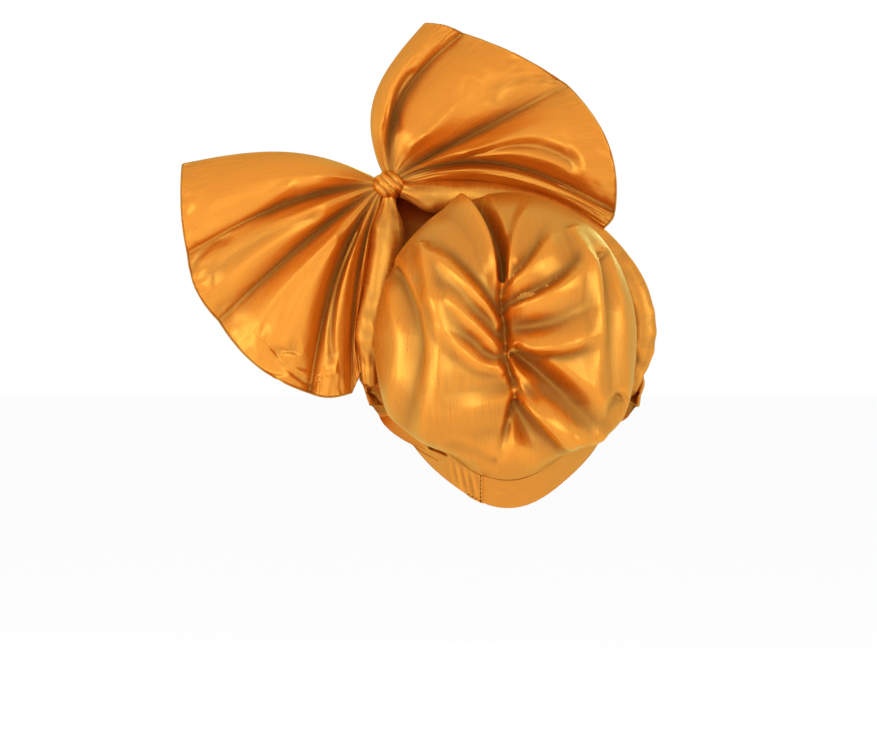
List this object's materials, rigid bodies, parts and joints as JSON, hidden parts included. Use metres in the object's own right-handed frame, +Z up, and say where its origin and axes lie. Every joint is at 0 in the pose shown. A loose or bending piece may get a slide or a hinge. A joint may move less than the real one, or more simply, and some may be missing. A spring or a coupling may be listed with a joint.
{
  "type": "turban cap",
  "caption": "Padded taffeta turban cap: a gathered crown on a plain head band, a standing front panel edged by padded rolls, and a big pleated bow at one side.",
  "frame": {"origin": "middle of the head opening, where the cap sits on a head", "axes": "+Z up, +Y the way the wearer faces, +X the wearer's right; the bow is on the wearer's left"},
  "size_m": [0.3737, 0.223, 0.3739],
  "materials": {
    "taffeta": "gold-orange shot taffeta, gathered, with a soft silky sheen",
    "taffeta_band": "gold-orange shot taffeta, flat and stitched along its edges",
    "taffeta_roll": "gold-orange shot taffeta over soft padding, lightly puckered",
    "taffeta_bow": "gold-orange shot taffeta, pleated and lightly padded"
  },
  "bodies": {
    "root": {"crown": "taffeta", "head_band": "taffeta_band", "front_panel": "taffeta", "roll_left": "taffeta_roll", "roll_right": "taffeta_roll", "bow_left": "taffeta_bow", "bow_right": "taffeta_bow", "knot": "taffeta_roll"}
  },
  "joints": []
}
